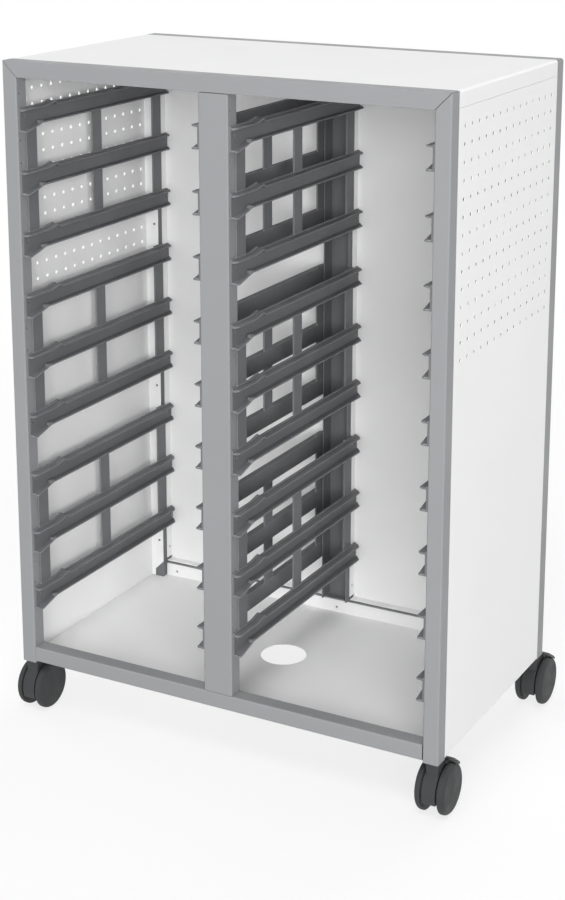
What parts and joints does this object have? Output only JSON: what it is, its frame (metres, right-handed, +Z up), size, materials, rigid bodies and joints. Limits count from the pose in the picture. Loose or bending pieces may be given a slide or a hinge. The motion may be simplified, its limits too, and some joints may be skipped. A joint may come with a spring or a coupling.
{
  "type": "tray storage unit",
  "caption": "Open-front steel cabinet with side-by-side bays of channel runners for slide-in trays, perforated side panels and braked swivel casters.",
  "frame": {"origin": "on the floor, midway between the four pairs of wheels in the pictured caster position, which is the bottom centre of the bounding box", "axes": "+X to the right as seen from the open front, +Y towards the back, +Z up"},
  "size_m": [0.761, 0.4776, 1.068],
  "materials": {
    "frame": "satin grey paint",
    "panel": "satin white paint",
    "runner": "matt dark grey",
    "caster": "matt charcoal",
    "wheel": "matt charcoal",
    "steel": "plain steel"
  },
  "bodies": {
    "cabinet": {"front_left_stile": "frame", "front_right_stile": "frame", "front_top_rail": "frame", "front_bottom_rail": "frame", "front_mullion": "frame", "rear_left_stile": "frame", "rear_right_stile": "frame", "rear_top_rail": "frame", "rear_bottom_rail": "frame", "rear_mullion": "frame", "left_rear_post": "runner", "right_rear_post": "runner", "divider_rear_post": "runner", "left_side_panel": "panel", "right_side_panel": "panel", "top_panel": "panel", "floor_pan": "panel", "left_back_panel": "panel", "right_back_panel": "panel", "left_wall_upper_ladder": "runner", "left_wall_middle_ladder": "runner", "left_wall_lower_ladder": "runner", "divider_left_upper_ladder": "runner", "divider_left_middle_ladder": "runner", "divider_left_lower_ladder": "runner", "divider_right_upper_ladder": "runner", "divider_right_middle_ladder": "runner", "divider_right_lower_ladder": "runner", "right_wall_upper_ladder": "runner", "right_wall_middle_ladder": "runner", "right_wall_lower_ladder": "runner", "front_left_caster_socket": "caster", "front_right_caster_socket": "caster", "rear_left_caster_socket": "caster", "rear_right_caster_socket": "caster"},
    "front_left_caster_swivel": {"front_left_caster_stem": "steel", "front_left_caster_hood": "caster", "front_left_caster_axle": "steel"},
    "front_left_caster_left_wheel": {"front_left_caster_left_wheel": "wheel"},
    "front_left_caster_right_wheel": {"front_left_caster_right_wheel": "wheel"},
    "front_left_caster_brake_lever": {"front_left_caster_brake_lever": "caster"},
    "front_right_caster_swivel": {"front_right_caster_stem": "steel", "front_right_caster_hood": "caster", "front_right_caster_axle": "steel"},
    "front_right_caster_left_wheel": {"front_right_caster_left_wheel": "wheel"},
    "front_right_caster_right_wheel": {"front_right_caster_right_wheel": "wheel"},
    "front_right_caster_brake_lever": {"front_right_caster_brake_lever": "caster"},
    "rear_left_caster_swivel": {"rear_left_caster_stem": "steel", "rear_left_caster_hood": "caster", "rear_left_caster_axle": "steel"},
    "rear_left_caster_left_wheel": {"rear_left_caster_left_wheel": "wheel"},
    "rear_left_caster_right_wheel": {"rear_left_caster_right_wheel": "wheel"},
    "rear_left_caster_brake_lever": {"rear_left_caster_brake_lever": "caster"},
    "rear_right_caster_swivel": {"rear_right_caster_stem": "steel", "rear_right_caster_hood": "caster", "rear_right_caster_axle": "steel"},
    "rear_right_caster_left_wheel": {"rear_right_caster_left_wheel": "wheel"},
    "rear_right_caster_right_wheel": {"rear_right_caster_right_wheel": "wheel"},
    "rear_right_caster_brake_lever": {"rear_right_caster_brake_lever": "caster"}
  },
  "joints": [
    {"name": "front_left_caster_swivel", "type": "hinge", "parent": "cabinet", "child": "front_left_caster_swivel", "pos_m": [-0.356, -0.2198, 0.0883], "axis": [0, 0, 1], "continuous": true},
    {"name": "front_left_caster_left_wheel_spin", "type": "hinge", "parent": "front_left_caster_swivel", "child": "front_left_caster_left_wheel", "pos_m": [-0.356, -0.1998, 0.039], "axis": [1, 0, 0], "continuous": true},
    {"name": "front_left_caster_right_wheel_spin", "type": "hinge", "parent": "front_left_caster_swivel", "child": "front_left_caster_right_wheel", "pos_m": [-0.356, -0.1998, 0.039], "axis": [1, 0, 0], "continuous": true},
    {"name": "front_left_caster_brake_lever_press", "type": "hinge", "parent": "front_left_caster_swivel", "child": "front_left_caster_brake_lever", "pos_m": [-0.356, -0.2028, 0.082], "axis": [-1, 0, 0], "range_deg": [0, 4]},
    {"name": "front_right_caster_swivel", "type": "hinge", "parent": "cabinet", "child": "front_right_caster_swivel", "pos_m": [0.356, -0.2198, 0.0883], "axis": [0, 0, 1], "continuous": true},
    {"name": "front_right_caster_left_wheel_spin", "type": "hinge", "parent": "front_right_caster_swivel", "child": "front_right_caster_left_wheel", "pos_m": [0.356, -0.1998, 0.039], "axis": [1, 0, 0], "continuous": true},
    {"name": "front_right_caster_right_wheel_spin", "type": "hinge", "parent": "front_right_caster_swivel", "child": "front_right_caster_right_wheel", "pos_m": [0.356, -0.1998, 0.039], "axis": [1, 0, 0], "continuous": true},
    {"name": "front_right_caster_brake_lever_press", "type": "hinge", "parent": "front_right_caster_swivel", "child": "front_right_caster_brake_lever", "pos_m": [0.356, -0.2028, 0.082], "axis": [-1, 0, 0], "range_deg": [0, 4]},
    {"name": "rear_left_caster_swivel", "type": "hinge", "parent": "cabinet", "child": "rear_left_caster_swivel", "pos_m": [-0.356, 0.1798, 0.0883], "axis": [0, 0, 1], "continuous": true},
    {"name": "rear_left_caster_left_wheel_spin", "type": "hinge", "parent": "rear_left_caster_swivel", "child": "rear_left_caster_left_wheel", "pos_m": [-0.356, 0.1998, 0.039], "axis": [1, 0, 0], "continuous": true},
    {"name": "rear_left_caster_right_wheel_spin", "type": "hinge", "parent": "rear_left_caster_swivel", "child": "rear_left_caster_right_wheel", "pos_m": [-0.356, 0.1998, 0.039], "axis": [1, 0, 0], "continuous": true},
    {"name": "rear_left_caster_brake_lever_press", "type": "hinge", "parent": "rear_left_caster_swivel", "child": "rear_left_caster_brake_lever", "pos_m": [-0.356, 0.1968, 0.082], "axis": [-1, 0, 0], "range_deg": [0, 4]},
    {"name": "rear_right_caster_swivel", "type": "hinge", "parent": "cabinet", "child": "rear_right_caster_swivel", "pos_m": [0.356, 0.1798, 0.0883], "axis": [0, 0, 1], "continuous": true},
    {"name": "rear_right_caster_left_wheel_spin", "type": "hinge", "parent": "rear_right_caster_swivel", "child": "rear_right_caster_left_wheel", "pos_m": [0.356, 0.1998, 0.039], "axis": [1, 0, 0], "continuous": true},
    {"name": "rear_right_caster_right_wheel_spin", "type": "hinge", "parent": "rear_right_caster_swivel", "child": "rear_right_caster_right_wheel", "pos_m": [0.356, 0.1998, 0.039], "axis": [1, 0, 0], "continuous": true},
    {"name": "rear_right_caster_brake_lever_press", "type": "hinge", "parent": "rear_right_caster_swivel", "child": "rear_right_caster_brake_lever", "pos_m": [0.356, 0.1968, 0.082], "axis": [-1, 0, 0], "range_deg": [0, 4]}
  ]
}
